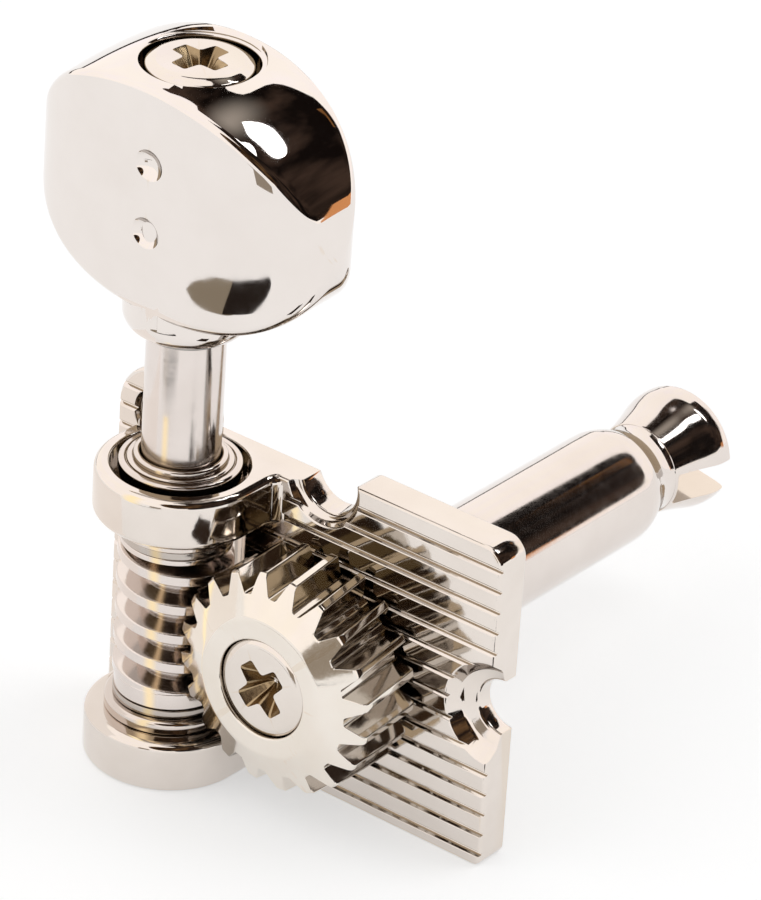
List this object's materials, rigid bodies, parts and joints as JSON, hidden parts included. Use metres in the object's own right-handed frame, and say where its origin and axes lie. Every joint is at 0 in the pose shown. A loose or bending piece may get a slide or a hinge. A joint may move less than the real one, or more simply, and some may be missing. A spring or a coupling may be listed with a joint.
{
  "type": "guitar tuning machine",
  "caption": "Open-geared string tuner: an oval knob turns a worm between two ears, and its worm wheel turns a slotted post behind a grooved plate",
  "frame": {"origin": "mounting point on the back face of the base plate, 6 mm beside the string post's axis, level with that axis", "axes": "+Y out of the plate's back, along the string post; +Z along the worm shaft towards the knob; +X along the plate away from the worm"},
  "size_m": [0.0274, 0.0365, 0.0392],
  "materials": {
    "plated_casting": "polished nickel plate over a cast zinc base",
    "plated_bush": "polished nickel plate over turned brass",
    "thrust_washer": "smooth polished steel",
    "plated_shaft": "nickel plate, fine turning lines",
    "plated_knob": "mirror polished nickel plate over a cast metal knob",
    "plated_screw": "polished nickel plate",
    "spring_washer": "plain spring steel",
    "plated_gear": "nickel plate over cut brass",
    "plated_post": "nickel plate over turned brass, fine turning lines"
  },
  "bodies": {
    "housing": {"base_plate": "plated_casting", "upper_worm_bush": "plated_bush", "lower_worm_bush": "plated_bush", "upper_thrust_washer": "thrust_washer", "lower_thrust_washer": "thrust_washer", "gear_thrust_washer": "thrust_washer"},
    "worm_and_knob": {"worm_shaft": "plated_shaft", "knob_seat_washer": "spring_washer", "knob": "plated_knob", "knob_spring_washer": "spring_washer", "knob_screw": "plated_screw"},
    "gear_and_post": {"gear": "plated_gear", "gear_spring_washer": "spring_washer", "gear_screw": "plated_screw", "string_post": "plated_post"}
  },
  "joints": [
    {"name": "knob_turn", "type": "hinge", "parent": "housing", "child": "worm_and_knob", "pos_m": [-0.01405, -0.00434, 0], "axis": [0, 0, 1], "continuous": true},
    {"name": "post_turn", "type": "hinge", "parent": "housing", "child": "gear_and_post", "pos_m": [-0.006, 0, 0], "axis": [0, 1, 0], "continuous": true}
  ],
  "couplings": [
    {"joint": "post_turn", "follows": "knob_turn", "ratio": 0.05}
  ]
}
